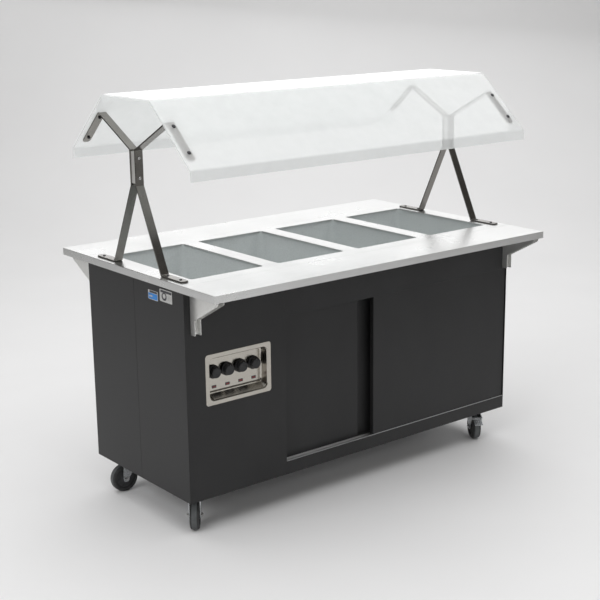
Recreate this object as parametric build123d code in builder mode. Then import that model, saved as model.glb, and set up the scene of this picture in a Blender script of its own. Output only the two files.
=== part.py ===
"""Mobile four-well steam table: sheet-metal cabinet on casters, work shelves and a clear food guard.

Millimetres. +X runs along the counter to the right, +Y to the back and +Z up.
The origin is on the floor, under the middle of the counter.
"""

import os
from math import atan2, cos, degrees, hypot, radians, sin

from build123d import *

os.makedirs("parts", exist_ok=True)

# Driving dimensions --------------------------------------------------------------------------
INCH = 25.4
LENGTH = 60 * INCH
DEPTH = 24 * INCH
TOP_Z = 881.0
CASTER_HEIGHT = 128.0
SHELF_DEPTH = 7 * INCH
LIP = 1 * INCH
SHEET = 1.5
THIN = 1.0
OVERHANG = 3.0

HALF_LENGTH = LENGTH / 2
HALF_DEPTH = DEPTH / 2
TOP_HALF_LENGTH = HALF_LENGTH + OVERHANG
TOP_HALF_DEPTH = HALF_DEPTH + SHEET
UNDER_TOP = TOP_Z - SHEET
LIP_Z = TOP_Z - LIP
INNER_DEPTH = HALF_DEPTH - SHEET
INNER_LENGTH = HALF_LENGTH - SHEET
FLANGE = 25.0
GROOVE = (1.6, 0.6)

# Base and doors
DECK_Z = 170.0
SILL_Z = 176.0
PANEL_EDGE_X = -HALF_LENGTH + 411
HEADER_Z = 707.0
HEADER_FOLD = 12.0
TRACK_FLOOR = 2.0
TRACK_RIB = 2.0
TRACK_PITCH = 23.6
TRACK_RISE = 4.5
DOOR_THICK = 18.0
DOOR_SKIN = 1.2
DOOR_GAP = 2.0
DOOR_BOTTOM = DECK_Z + SHEET + TRACK_FLOOR + 4.5
DOOR_TOP = HEADER_Z + 15
FRONT_DOOR_Y = -HALF_DEPTH + 3.8
REAR_DOOR_Y = FRONT_DOOR_Y + TRACK_PITCH
LEFT_DOOR = (PANEL_EDGE_X + DOOR_GAP, 110.0)
RIGHT_DOOR = (60.0, HALF_LENGTH - 4)
PULL = (8.0, 84.0)

# Shelf brackets
BRACKET_WIDTH = 25.0
BRACKET_SHEET = 2.0
BRACKET_LEFT_X = (-738.0, 737.0)
BRACKET_FOOT_Z = 713.0
BRACKET_KNEE_Z = 766.0
BRACKET_TIP_Z = 840.0
BRACKET_TAB = 24.0
BRACKET_REACH = 158.0
BRACKET_SCREW_Z = (725.0, 800.0)

# Wells
WELL_PITCH = 362.0
WELL_OPENING = (298.0, 495.0)
WELL_PAN = (306.0, 505.0)
WELL_DEPTH = 165.0
OPENING_CORNER = 10.0
WELL_CORNER = 30.0
WELL_RIM = 12.0
WELL_CENTRES = [WELL_PITCH * (step - 1.5) for step in range(4)]
TRAY_Z = UNDER_TOP - WELL_DEPTH - 45

# Controls
BEZEL = (271.0, 178.0)
BEZEL_CENTRE = (-550.5, 544.0)
BEZEL_FLANGE = 16.0
BEZEL_RECESS = 28.0
BEZEL_CORNER = 10.0
BEZEL_SHEET = 1.2
DIAL_Y = -HALF_DEPTH + BEZEL_RECESS
KNOB_PITCH = 55.0
KNOB_Z = 562.0
KNOB_CENTRES = [-554.5 + KNOB_PITCH * (step - 1.5) for step in range(4)]
KNOB_R = 23.5
LAMP_Z = 508.0
LAMP_SHIFT = 3.0
SHAFT_R = 3.0
SHAFT_CLEARANCE = 0.05
GLAND = (-560.0, 240.0)
GLAND_BORE = 6.0

# Casters
SWIVEL_X = 682.0
SWIVEL_Y = 213.0
TRAIL = 30.0
WHEEL_R = 51.0
WHEEL_WIDTH = 32.0
AXLE_R = 5.0
KINGPIN_R = 6.0
FORK_GAP = 36.0
FORK_SHEET = 3.0
PLATE = (95.0, 75.0)
PLATE_SHEET = 3.0
PLATE_HOLES = (75.0, 55.0)
PLATE_BOLT_R = 4.0
BOLT_PLAY = 0.5

# Guard and its supports
GUARD_SHEET = 6.0
GUARD_TOP_Z = 1462.0
GUARD_FOLD_Y = 148.0
GUARD_EAVE = (371.0, 1259.0)
GUARD_LIP = (375.0, 1223.0)
BAR_WIDTH = 30.0
BAR_SHEET = 5.0
BAR_X = 730.0
SPACER = 25.4
FOOT = (148.0, 272.0)
FOOT_HOLES = (168.0, 244.0)
BAR_JOIN = (1166.0, 1288.0)
BOLT_Z = (1192.0, 1259.0)
SLOPE_SCREWS = (235.0, 318.0)
SCREW_HOLE_R = 3.2
BOLT_R = 3.0
HOLE_PLAY = 0.2
ARM_TOP_Y = 212.0
ARM_END_Y = 334.0


# Helpers -------------------------------------------------------------------------------------
def save(piece, label):
    """Names one finished piece and writes it as a node."""
    piece.part.label = label
    export_step(piece.part, f"parts/{label}.step")


def block(x_span, y_span, z_span, mode=Mode.ADD):
    """An upright block between the given limits, joined to the piece being made."""
    spans = (x_span, y_span, z_span)
    with Locations(tuple((start + end) / 2 for start, end in spans)):
        Box(*[abs(end - start) for start, end in spans], mode=mode)


def rod(centre, radius, length, rotation=(0, 0, 0), mode=Mode.ADD):
    """A round bar centred on a point. It stands along Z unless it is rotated."""
    with Locations(centre):
        Cylinder(radius, length, rotation=rotation, mode=mode)


ALONG_Y = (90, 0, 0)


def screw_head(centre, radius, height, toward):
    """A round screw head standing on a face that looks toward -Y, +Y or +Z."""
    turned = {"front": ALONG_Y, "back": ALONG_Y, "up": (0, 0, 0)}[toward]
    shift = {"front": (0, -height / 2, 0), "back": (0, height / 2, 0), "up": (0, 0, height / 2)}[toward]
    rod(tuple(at + by for at, by in zip(centre, shift)), radius, height, turned)


def drill_for_brackets(side):
    """Holes for the bracket screws through the panels on the front (-1) or the back (1)."""
    for left in BRACKET_LEFT_X:
        for z in BRACKET_SCREW_Z:
            centre = (left + BRACKET_WIDTH / 2, side * HALF_DEPTH, z)
            rod(centre, SCREW_HOLE_R, 8 * SHEET, ALONG_Y, Mode.SUBTRACT)


# Cabinet -------------------------------------------------------------------------------------
with BuildPart() as base_pan:
    block((-INNER_LENGTH, INNER_LENGTH), (-INNER_DEPTH + SHEET, INNER_DEPTH - SHEET), (CASTER_HEIGHT, DECK_Z))
    block(
        (-INNER_LENGTH + SHEET, INNER_LENGTH - SHEET),
        (-INNER_DEPTH + 2 * SHEET, INNER_DEPTH - 2 * SHEET),
        (CASTER_HEIGHT, DECK_Z - SHEET),
        Mode.SUBTRACT,
    )
save(base_pan, "base_pan")

with BuildPart() as caster_rails:
    for side in (-1, 1):
        half_width = PLATE[0] / 2 + 8
        block(
            (side * SWIVEL_X - half_width, side * SWIVEL_X + half_width),
            (-INNER_DEPTH + 2 * SHEET, INNER_DEPTH - 2 * SHEET),
            (CASTER_HEIGHT, CASTER_HEIGHT + SHEET),
        )
        for y in (-SWIVEL_Y, SWIVEL_Y):
            with Locations((side * SWIVEL_X, y, CASTER_HEIGHT)):
                with GridLocations(*PLATE_HOLES, 2, 2):
                    Cylinder(PLATE_BOLT_R + BOLT_PLAY, 4 * SHEET, mode=Mode.SUBTRACT)
save(caster_rails, "caster_rails")

with BuildPart() as door_sill:
    block((PANEL_EDGE_X, INNER_LENGTH), (-HALF_DEPTH, -INNER_DEPTH), (CASTER_HEIGHT, SILL_Z))
    block((PANEL_EDGE_X, INNER_LENGTH), (-HALF_DEPTH, -250), (DECK_Z, DECK_Z + SHEET))
save(door_sill, "door_sill")


def end_panel(label, side):
    """An end wall. The left one folds in behind the fixed front panel."""
    inner = side * INNER_LENGTH
    with BuildPart() as panel:
        front = -INNER_DEPTH if side < 0 else -HALF_DEPTH
        block((side * HALF_LENGTH, inner), (front, INNER_DEPTH), (CASTER_HEIGHT, UNDER_TOP))
        back_fold = (INNER_DEPTH - SHEET, INNER_DEPTH)
        block((inner, inner - side * FLANGE), back_fold, (CASTER_HEIGHT, UNDER_TOP))
        if side < 0:
            front_fold = (-INNER_DEPTH, -INNER_DEPTH + SHEET)
            block((inner, inner + FLANGE), front_fold, (CASTER_HEIGHT, UNDER_TOP))
        groove = (side * HALF_LENGTH, side * (HALF_LENGTH - GROOVE[1]))
        block(groove, (-GROOVE[0] / 2, GROOVE[0] / 2), (CASTER_HEIGHT, UNDER_TOP), Mode.SUBTRACT)
        drill_for_brackets(1)
    save(panel, label)


end_panel("left_end_panel", -1)
end_panel("right_end_panel", 1)

with BuildPart() as front_panel:
    block((-HALF_LENGTH, PANEL_EDGE_X), (-HALF_DEPTH, -INNER_DEPTH), (CASTER_HEIGHT, UNDER_TOP))
    block((PANEL_EDGE_X - SHEET, PANEL_EDGE_X), (-HALF_DEPTH, -HALF_DEPTH + 20), (DECK_Z + SHEET, UNDER_TOP))
    cut = (BEZEL[0] / 2 - 8, BEZEL[1] / 2 - 8)
    block(
        (BEZEL_CENTRE[0] - cut[0], BEZEL_CENTRE[0] + cut[0]),
        (-HALF_DEPTH - 1, -INNER_DEPTH + 1),
        (BEZEL_CENTRE[1] - cut[1], BEZEL_CENTRE[1] + cut[1]),
        Mode.SUBTRACT,
    )
    drill_for_brackets(-1)
save(front_panel, "front_panel")

with BuildPart() as front_header:
    block((PANEL_EDGE_X, INNER_LENGTH), (-HALF_DEPTH, -INNER_DEPTH), (HEADER_Z, UNDER_TOP))
    header_fold = (-INNER_DEPTH, -INNER_DEPTH + SHEET)
    block((PANEL_EDGE_X, INNER_LENGTH), header_fold, (HEADER_Z, HEADER_Z + HEADER_FOLD))
    drill_for_brackets(-1)
save(front_header, "front_header")

LOUVRE = (64.0, 5.0)
with BuildPart() as back_panel:
    block((-HALF_LENGTH, HALF_LENGTH), (INNER_DEPTH, HALF_DEPTH), (CASTER_HEIGHT, UNDER_TOP))
    with Locations((BEZEL_CENTRE[0], HALF_DEPTH, BEZEL_CENTRE[1])):
        with GridLocations(96, 1, 2, 1):
            for row in range(7):
                with Locations((0, 0, 16.0 * (row - 3))):
                    Box(LOUVRE[0], 4 * SHEET, LOUVRE[1], mode=Mode.SUBTRACT)
    drill_for_brackets(1)
    rod((GLAND[0], HALF_DEPTH, GLAND[1]), GLAND_BORE, 4 * SHEET, ALONG_Y, Mode.SUBTRACT)
save(back_panel, "back_panel")

with BuildPart() as partition:
    behind_doors = (REAR_DOOR_Y + DOOR_THICK + 6, INNER_DEPTH)
    block((PANEL_EDGE_X - SHEET, PANEL_EDGE_X), behind_doors, (DECK_Z, TRAY_Z))
    block((PANEL_EDGE_X - FLANGE, PANEL_EDGE_X), behind_doors, (DECK_Z, DECK_Z + SHEET))
save(partition, "partition")

# Door tracks and doors -----------------------------------------------------------------------
RIB_YS = [-INNER_DEPTH + TRACK_PITCH * step for step in range(3)]
TRACK_BACK = RIB_YS[2] + TRACK_RIB
TRACK_Z = DECK_Z + SHEET

TRACK_SPAN = (PANEL_EDGE_X, INNER_LENGTH)
TRACK_ROOF = DOOR_TOP + 8

with BuildPart() as door_tracks:
    block(TRACK_SPAN, (-INNER_DEPTH, TRACK_BACK), (TRACK_Z, TRACK_Z + TRACK_FLOOR))
    for y in RIB_YS:
        block(TRACK_SPAN, (y, y + TRACK_RIB), (TRACK_Z, TRACK_Z + TRACK_FLOOR + TRACK_RISE))
    block(TRACK_SPAN, (-INNER_DEPTH, TRACK_BACK), (TRACK_ROOF, TRACK_ROOF + TRACK_FLOOR))
    for y in RIB_YS[1:]:
        block(TRACK_SPAN, (y, y + TRACK_RIB), (DOOR_TOP - 10, TRACK_ROOF))
    block(TRACK_SPAN, (-INNER_DEPTH, -INNER_DEPTH + SHEET), (HEADER_Z + HEADER_FOLD, TRACK_ROOF))
save(door_tracks, "door_tracks")


def door(label, skin_outline, radii):
    """A sliding door folded from sheet, open at the back and closed at the top and bottom.

    skin_outline lists the skin's corners from left to right, seen from above. A door whose
    outline has a pull channel gets the channel's two end plates.
    """
    start = skin_outline[0]
    end = skin_outline[-1]
    with BuildPart() as leaf:
        with BuildSketch(Plane.XY.offset(DOOR_BOTTOM)):
            with BuildLine():
                face = FilletPolyline(*skin_outline, radius=radii)
                Line(face @ 1, face @ 0)
            make_face()
        extrude(amount=DOOR_TOP - DOOR_BOTTOM)
        with BuildSketch(Plane.XY.offset(DOOR_BOTTOM + DOOR_SKIN)):
            with BuildLine():
                face = FilletPolyline(*skin_outline, radius=radii)
                Line(face @ 1, face @ 0)
            make_face()
            offset(amount=-DOOR_SKIN, kind=Kind.INTERSECTION)
            with Locations(((start[0] + end[0]) / 2, start[1])):
                Rectangle(end[0] - start[0] - 2 * DOOR_SKIN, 2 * DOOR_SKIN + 0.2)
        extrude(amount=DOOR_TOP - DOOR_BOTTOM - 2 * DOOR_SKIN, mode=Mode.SUBTRACT)
        if len(skin_outline) > 4:
            for z in (DOOR_BOTTOM, DOOR_TOP - DOOR_SKIN):
                block((PULL[0] - 4, PULL[1] + 4), (start[1] - DOOR_THICK, start[1] - 1), (z, z + DOOR_SKIN))
    save(leaf, label)


def door_glides(label, x_span, door_y):
    """Two nylon glides under a door that keep it in its track."""
    depth = (door_y + 2, door_y + DOOR_THICK - 2)
    with BuildPart() as glides:
        for x in (x_span[0] + 30, x_span[1] - 30):
            block((x - 20, x + 20), depth, (TRACK_Z + TRACK_FLOOR + 0.2, DOOR_BOTTOM))
    save(glides, label)


rear_back = REAR_DOOR_Y + DOOR_THICK
door(
    "left_door",
    [
        (LEFT_DOOR[0], rear_back),
        (LEFT_DOOR[0], REAR_DOOR_Y),
        (PULL[0], REAR_DOOR_Y),
        (PULL[0] + 3, rear_back - 3),
        (PULL[1] - 4, rear_back - 3),
        (PULL[1], REAR_DOOR_Y),
        (LEFT_DOOR[1], REAR_DOOR_Y),
        (LEFT_DOOR[1], rear_back),
    ],
    [2, 7, 3, 3, 3, 2],
)
door(
    "right_door",
    [
        (RIGHT_DOOR[0], FRONT_DOOR_Y + DOOR_THICK),
        (RIGHT_DOOR[0], FRONT_DOOR_Y),
        (RIGHT_DOOR[1], FRONT_DOOR_Y),
        (RIGHT_DOOR[1], FRONT_DOOR_Y + DOOR_THICK),
    ],
    [2, 2],
)
door_glides("left_door_glides", LEFT_DOOR, REAR_DOOR_Y)
door_glides("right_door_glides", RIGHT_DOOR, FRONT_DOOR_Y)

# Counter top, shelves and their brackets ------------------------------------------------------
with BuildPart() as counter_top:
    block((-TOP_HALF_LENGTH, TOP_HALF_LENGTH), (-TOP_HALF_DEPTH, TOP_HALF_DEPTH), (LIP_Z, TOP_Z))
    block(
        (-TOP_HALF_LENGTH + SHEET, TOP_HALF_LENGTH - SHEET),
        (-TOP_HALF_DEPTH + SHEET, TOP_HALF_DEPTH - SHEET),
        (LIP_Z, UNDER_TOP),
        Mode.SUBTRACT,
    )
    with BuildSketch(Plane.XY.offset(UNDER_TOP)):
        with Locations(*[(x, 0) for x in WELL_CENTRES]):
            RectangleRounded(*WELL_OPENING, OPENING_CORNER)
    extrude(amount=SHEET, mode=Mode.SUBTRACT)
    for x in (-BAR_X, BAR_X):
        for y in (-FOOT_HOLES[1], -FOOT_HOLES[0], FOOT_HOLES[0], FOOT_HOLES[1]):
            rod((x, y, UNDER_TOP), SCREW_HOLE_R, 4 * SHEET, mode=Mode.SUBTRACT)
save(counter_top, "counter_top")


def work_shelf(label, side):
    """A shelf along the front (side -1) or the back (side 1), folded down all round."""
    near = side * TOP_HALF_DEPTH
    far = near + side * SHELF_DEPTH
    with BuildPart() as shelf:
        block((-TOP_HALF_LENGTH, TOP_HALF_LENGTH), (near, far), (LIP_Z, TOP_Z))
        block(
            (-TOP_HALF_LENGTH + SHEET, TOP_HALF_LENGTH - SHEET),
            (near + side * SHEET, far - side * SHEET),
            (LIP_Z, UNDER_TOP),
            Mode.SUBTRACT,
        )
        block(
            (-TOP_HALF_LENGTH + SHEET, TOP_HALF_LENGTH - SHEET),
            (far - side * SHEET, far - side * 13),
            (LIP_Z, LIP_Z + SHEET),
        )
    save(shelf, label)


work_shelf("front_shelf", -1)
work_shelf("back_shelf", 1)

with BuildPart() as shelf_brackets:
    for left in BRACKET_LEFT_X:
        with BuildSketch(Plane.YZ.offset(left)):
            with BuildLine():
                web = FilletPolyline(
                    (-HALF_DEPTH, LIP_Z),
                    (-HALF_DEPTH, BRACKET_FOOT_Z),
                    (-HALF_DEPTH - BRACKET_TAB, BRACKET_FOOT_Z),
                    (-HALF_DEPTH - BRACKET_TAB, BRACKET_KNEE_Z),
                    (-HALF_DEPTH - BRACKET_REACH, BRACKET_TIP_Z),
                    (-HALF_DEPTH - BRACKET_REACH, LIP_Z),
                    radius=[0, 3, 3, 9],
                )
                Line(web @ 1, web @ 0)
            make_face()
        extrude(amount=BRACKET_WIDTH)
        block(
            (left + BRACKET_SHEET, left + BRACKET_WIDTH - BRACKET_SHEET),
            (-HALF_DEPTH - BRACKET_SHEET, -HALF_DEPTH - BRACKET_REACH - 1),
            (BRACKET_FOOT_Z - 1, LIP_Z - BRACKET_SHEET),
            Mode.SUBTRACT,
        )
        for z in BRACKET_SCREW_Z:
            rod((left + BRACKET_WIDTH / 2, -HALF_DEPTH, z), SCREW_HOLE_R, 4 * SHEET, ALONG_Y, Mode.SUBTRACT)
    mirror(about=Plane.XZ)
save(shelf_brackets, "shelf_brackets")

with BuildPart() as bracket_screws:
    for left in BRACKET_LEFT_X:
        for z in BRACKET_SCREW_Z:
            centre = (left + BRACKET_WIDTH / 2, -HALF_DEPTH - BRACKET_SHEET, z)
            screw_head(centre, 5, 3, "front")
            shank = BRACKET_SHEET + SHEET
            rod((centre[0], -HALF_DEPTH - BRACKET_SHEET + shank / 2, z), 3, shank, ALONG_Y)
    mirror(about=Plane.XZ)
save(bracket_screws, "bracket_screws")

# Wells, heaters and their tray ----------------------------------------------------------------
for number, x in enumerate(WELL_CENTRES, 1):
    with BuildPart() as well:
        with BuildSketch(Plane.XY.offset(UNDER_TOP - WELL_DEPTH)):
            with Locations((x, 0)):
                RectangleRounded(WELL_PAN[0] + 2 * THIN, WELL_PAN[1] + 2 * THIN, WELL_CORNER + THIN)
        extrude(amount=WELL_DEPTH - THIN)
        with BuildSketch(Plane.XY.offset(UNDER_TOP - THIN)):
            with Locations((x, 0)):
                RectangleRounded(WELL_PAN[0] + 2 * WELL_RIM, WELL_PAN[1] + 2 * WELL_RIM, WELL_CORNER)
        extrude(amount=THIN)
        with BuildSketch(Plane.XY.offset(UNDER_TOP - WELL_DEPTH + THIN)):
            with Locations((x, 0)):
                RectangleRounded(*WELL_PAN, WELL_CORNER)
        extrude(amount=WELL_DEPTH, mode=Mode.SUBTRACT)
    save(well, f"well_{number}")

HEATER_R = 4.0
HEATER_Z = UNDER_TOP - WELL_DEPTH - HEATER_R - 1
HEATER_SPAN = (90.0, 170.0)
with BuildPart() as heating_elements:
    for x in WELL_CENTRES:
        with BuildLine(Plane.XY.offset(HEATER_Z)) as route:
            FilletPolyline(
                (x - 20, HEATER_SPAN[1]),
                (x - HEATER_SPAN[0], HEATER_SPAN[1]),
                (x - HEATER_SPAN[0], -HEATER_SPAN[1]),
                (x - 30, -HEATER_SPAN[1]),
                (x - 30, 110),
                (x + 30, 110),
                (x + 30, -HEATER_SPAN[1]),
                (x + HEATER_SPAN[0], -HEATER_SPAN[1]),
                (x + HEATER_SPAN[0], HEATER_SPAN[1]),
                (x + 20, HEATER_SPAN[1]),
                radius=22,
            )
        with BuildSketch(Plane(origin=route.line @ 0, z_dir=route.line % 0)):
            Circle(HEATER_R)
        sweep(path=route.line)
save(heating_elements, "heating_elements")

TRAY = (WELL_CENTRES[3] + WELL_PAN[0] / 2, 248.0)
with BuildPart() as heater_tray:
    block((-TRAY[0], TRAY[0]), (-TRAY[1], TRAY[1]), (TRAY_Z, UNDER_TOP - WELL_DEPTH))
    block(
        (-TRAY[0] + THIN, TRAY[0] - THIN),
        (-TRAY[1] + THIN, TRAY[1] - THIN),
        (TRAY_Z + THIN, UNDER_TOP),
        Mode.SUBTRACT,
    )
save(heater_tray, "heater_tray")

# Controls ------------------------------------------------------------------------------------
BEZEL_MOUTH = (BEZEL[0] - 2 * BEZEL_FLANGE, BEZEL[1] - 2 * BEZEL_FLANGE)
BEZEL_FLOOR = (BEZEL_MOUTH[0] - 12, BEZEL_MOUTH[1] - 26)
FLOOR_RAISE = 7.0


def front_plane(y):
    """An upright plane that looks toward the front, centred on the control panel."""
    return Plane(origin=(BEZEL_CENTRE[0], y, BEZEL_CENTRE[1]), x_dir=(1, 0, 0), z_dir=(0, -1, 0))


with BuildPart() as control_bezel:
    with BuildSketch(front_plane(-HALF_DEPTH)):
        RectangleRounded(*BEZEL, BEZEL_CORNER)
    extrude(amount=BEZEL_SHEET)
    with BuildSketch(front_plane(-HALF_DEPTH)):
        RectangleRounded(*[side + 2 * BEZEL_SHEET for side in BEZEL_MOUTH], 18 + BEZEL_SHEET)
    with BuildSketch(front_plane(DIAL_Y + BEZEL_SHEET)):
        with Locations((0, FLOOR_RAISE)):
            RectangleRounded(*[side + 2 * BEZEL_SHEET for side in BEZEL_FLOOR], 10 + BEZEL_SHEET)
    loft()
    with BuildSketch(front_plane(-HALF_DEPTH - 2 * BEZEL_SHEET)):
        RectangleRounded(*BEZEL_MOUTH, 18)
    with BuildSketch(front_plane(DIAL_Y)):
        with Locations((0, FLOOR_RAISE)):
            RectangleRounded(*BEZEL_FLOOR, 10)
    loft(mode=Mode.SUBTRACT)
    for x in KNOB_CENTRES:
        rod((x, DIAL_Y, KNOB_Z), 5.0, 8, ALONG_Y, Mode.SUBTRACT)
        lamp = x + LAMP_SHIFT
        block((lamp - 8, lamp + 8), (DIAL_Y - 4, DIAL_Y + 4), (LAMP_Z - 4, LAMP_Z + 4), Mode.SUBTRACT)
save(control_bezel, "control_bezel")

with BuildPart() as thermostats:
    for x in KNOB_CENTRES:
        block((x - 21, x + 21), (DIAL_Y + 3, DIAL_Y + 40), (KNOB_Z - 24, KNOB_Z + 24))
        rod((x, DIAL_Y + 1, KNOB_Z), 4.8, 6, ALONG_Y)
        rod((x, DIAL_Y + 8, KNOB_Z), SHAFT_R + SHAFT_CLEARANCE, 24, ALONG_Y, Mode.SUBTRACT)
save(thermostats, "thermostats")

KNOB_STANDOFF = 3.0
SKIRT = 6.0
GRIP = 15.0
FLUTE_R = 3.2
FLUTE_RING = KNOB_R - 2.6
for number, x in enumerate(KNOB_CENTRES, 1):
    skirt_y = DIAL_Y - KNOB_STANDOFF
    with BuildPart() as knob:
        rod((x, skirt_y - SKIRT / 2, KNOB_Z), KNOB_R, SKIRT, ALONG_Y)
        rod((x, skirt_y - SKIRT - GRIP / 2, KNOB_Z), KNOB_R - 4, GRIP, ALONG_Y)
        fillet(knob.edges().filter_by(GeomType.CIRCLE).group_by(Axis.Y)[0], 2.5)
        for step in range(12):
            turn = radians(30 * step + 15)
            flute = (x + FLUTE_RING * sin(turn), skirt_y - SKIRT - GRIP / 2, KNOB_Z + FLUTE_RING * cos(turn))
            rod(flute, FLUTE_R, GRIP, ALONG_Y, Mode.SUBTRACT)
        rod((x, DIAL_Y + 6, KNOB_Z), SHAFT_R, 18 + KNOB_STANDOFF, ALONG_Y)
    save(knob, f"knob_{number}")

with BuildPart() as indicator_lamps:
    for x in KNOB_CENTRES:
        centre = x + LAMP_SHIFT
        block((centre - 9, centre + 9), (DIAL_Y - 1.5, DIAL_Y), (LAMP_Z - 5, LAMP_Z + 5))
        block((centre - 7.9, centre + 7.9), (DIAL_Y, DIAL_Y + 14), (LAMP_Z - 3.9, LAMP_Z + 3.9))
save(indicator_lamps, "indicator_lamps")

with BuildPart() as terminal_block:
    block((-620, -500), (180, 230), (DECK_Z, DECK_Z + 12))
    for step in range(6):
        block((-616 + 20 * step, -600 + 20 * step), (184, 226), (DECK_Z + 12, DECK_Z + 30))
save(terminal_block, "terminal_block")

with BuildPart() as power_gland:
    rod((GLAND[0], HALF_DEPTH + 3, GLAND[1]), 17, 6, ALONG_Y)
    rod((GLAND[0], HALF_DEPTH + 13, GLAND[1]), 13, 14, ALONG_Y)
    rod((GLAND[0], HALF_DEPTH + 10, GLAND[1]), GLAND_BORE, 24, ALONG_Y, Mode.SUBTRACT)
save(power_gland, "power_gland")

with BuildPart() as rating_plates:
    block((-HALF_LENGTH - 0.8, -HALF_LENGTH), (-152, -92), (800, 832))
    block((-HALF_LENGTH - 0.8, -HALF_LENGTH), (-238, -164), (806, 848))
save(rating_plates, "rating_plates")

# Food guard and its supports -------------------------------------------------------------------
BAR_FACE = SPACER / 2


slope = atan2(GUARD_TOP_Z - GUARD_EAVE[1], GUARD_EAVE[0] - GUARD_FOLD_Y)
slope_rise = (GUARD_TOP_Z - GUARD_EAVE[1]) / (GUARD_EAVE[0] - GUARD_FOLD_Y)


def guard_z(y):
    """Height of the guard's outer face on its slope."""
    return GUARD_TOP_Z - (abs(y) - GUARD_FOLD_Y) * slope_rise


UNDER_GUARD = GUARD_SHEET / cos(slope)


def slope_plane(x, side, y):
    """A plane on the guard's outer slope that looks out along the slope's normal."""
    return Plane(origin=(x, side * y, guard_z(y)), x_dir=(1, 0, 0), z_dir=(0, side * sin(slope), cos(slope)))


def support_bar(label, x_mid, side):
    """One strip from foot to guard. It leans in, runs up the spacer and forks out again.

    side is -1 at the front and 1 at the back.
    """
    inner = side * BAR_FACE
    path = [
        (side * FOOT[1], TOP_Z),
        (side * FOOT[0], TOP_Z),
        (inner, BAR_JOIN[0]),
        (inner, BAR_JOIN[1]),
        (side * ARM_TOP_Y, guard_z(ARM_TOP_Y) - UNDER_GUARD),
        (side * ARM_END_Y, guard_z(ARM_END_Y) - UNDER_GUARD),
    ]
    with BuildPart() as bar:
        with BuildSketch(Plane.YZ.offset(x_mid - BAR_WIDTH / 2)):
            with BuildLine():
                spine = FilletPolyline(*path, radius=7)
                offset(spine, amount=BAR_SHEET, side=Side.LEFT if side < 0 else Side.RIGHT)
            make_face()
        extrude(amount=BAR_WIDTH)
        fillet(bar.edges().filter_by(lambda edge: abs(edge.length - BAR_SHEET) < 0.01), BAR_WIDTH / 3)
        for y in FOOT_HOLES:
            rod((x_mid, side * y, TOP_Z), SCREW_HOLE_R, 4 * BAR_SHEET, mode=Mode.SUBTRACT)
        for z in BOLT_Z:
            rod((x_mid, inner, z), BOLT_R + HOLE_PLAY, 4 * BAR_SHEET, ALONG_Y, Mode.SUBTRACT)
        for y in SLOPE_SCREWS:
            with BuildSketch(slope_plane(x_mid, side, y)):
                Circle(SCREW_HOLE_R)
            extrude(amount=-4 * GUARD_SHEET, mode=Mode.SUBTRACT)
    save(bar, label)


for end, name in ((-1, "left"), (1, "right")):
    support_bar(f"{name}_front_support", end * BAR_X, -1)
    support_bar(f"{name}_back_support", end * BAR_X, 1)

with BuildPart() as support_spacers:
    for x in (-BAR_X, BAR_X):
        block((x - SPACER / 2, x + SPACER / 2), (-BAR_FACE, BAR_FACE), (BAR_JOIN[0] + 8, BAR_JOIN[1] - 8))
        wall = SPACER / 2 - 2
        block((x - wall, x + wall), (-wall, wall), (BAR_JOIN[0], BAR_JOIN[1]), Mode.SUBTRACT)
        for z in BOLT_Z:
            rod((x, 0, z), BOLT_R + HOLE_PLAY, 2 * SPACER, ALONG_Y, Mode.SUBTRACT)
save(support_spacers, "support_spacers")

with BuildPart() as support_bolts:
    for x in (-BAR_X, BAR_X):
        for z in BOLT_Z:
            rod((x, 0, z), BOLT_R, SPACER + 2 * BAR_SHEET, ALONG_Y)
            screw_head((x, -BAR_FACE - BAR_SHEET, z), 5.5, 3.5, "front")
            screw_head((x, BAR_FACE + BAR_SHEET, z), 5.5, 4.5, "back")
save(support_bolts, "support_bolts")

with BuildPart() as foot_screws:
    for x in (-BAR_X, BAR_X):
        for y in (-FOOT_HOLES[1], -FOOT_HOLES[0], FOOT_HOLES[0], FOOT_HOLES[1]):
            screw_head((x, y, TOP_Z + BAR_SHEET), 5, 2.5, "up")
            rod((x, y, TOP_Z - 1), 3.0, 12)
            rod((x, y, UNDER_TOP - 2.5), 5.5, 5)
save(foot_screws, "foot_screws")

with BuildPart() as guard_screws:
    for x in (-BAR_X, BAR_X):
        for side in (-1, 1):
            for y in SLOPE_SCREWS:
                seat = slope_plane(x, side, y)
                with BuildSketch(seat):
                    Circle(7)
                extrude(amount=3)
                with BuildSketch(seat):
                    Circle(3)
                extrude(amount=-GUARD_SHEET - BAR_SHEET - 6)
                with BuildSketch(seat.offset(-GUARD_SHEET - BAR_SHEET)):
                    Circle(5.5)
                extrude(amount=-4.5)
save(guard_screws, "guard_screws")

with BuildPart() as guard_sheet:
    with BuildSketch(Plane.YZ.offset(-HALF_LENGTH)):
        with BuildLine():
            outer = FilletPolyline(
                (-GUARD_LIP[0], GUARD_LIP[1]),
                (-GUARD_EAVE[0], GUARD_EAVE[1]),
                (-GUARD_FOLD_Y, GUARD_TOP_Z),
                (GUARD_FOLD_Y, GUARD_TOP_Z),
                (GUARD_EAVE[0], GUARD_EAVE[1]),
                (GUARD_LIP[0], GUARD_LIP[1]),
                radius=14,
            )
            offset(outer, amount=GUARD_SHEET, side=Side.RIGHT)
        make_face()
    extrude(amount=LENGTH)
    for x in (-BAR_X, BAR_X):
        for side in (-1, 1):
            for y in SLOPE_SCREWS:
                with BuildSketch(slope_plane(x, side, y)):
                    Circle(SCREW_HOLE_R)
                extrude(amount=2 * GUARD_SHEET, both=True, mode=Mode.SUBTRACT)
save(guard_sheet, "guard_sheet")

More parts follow.
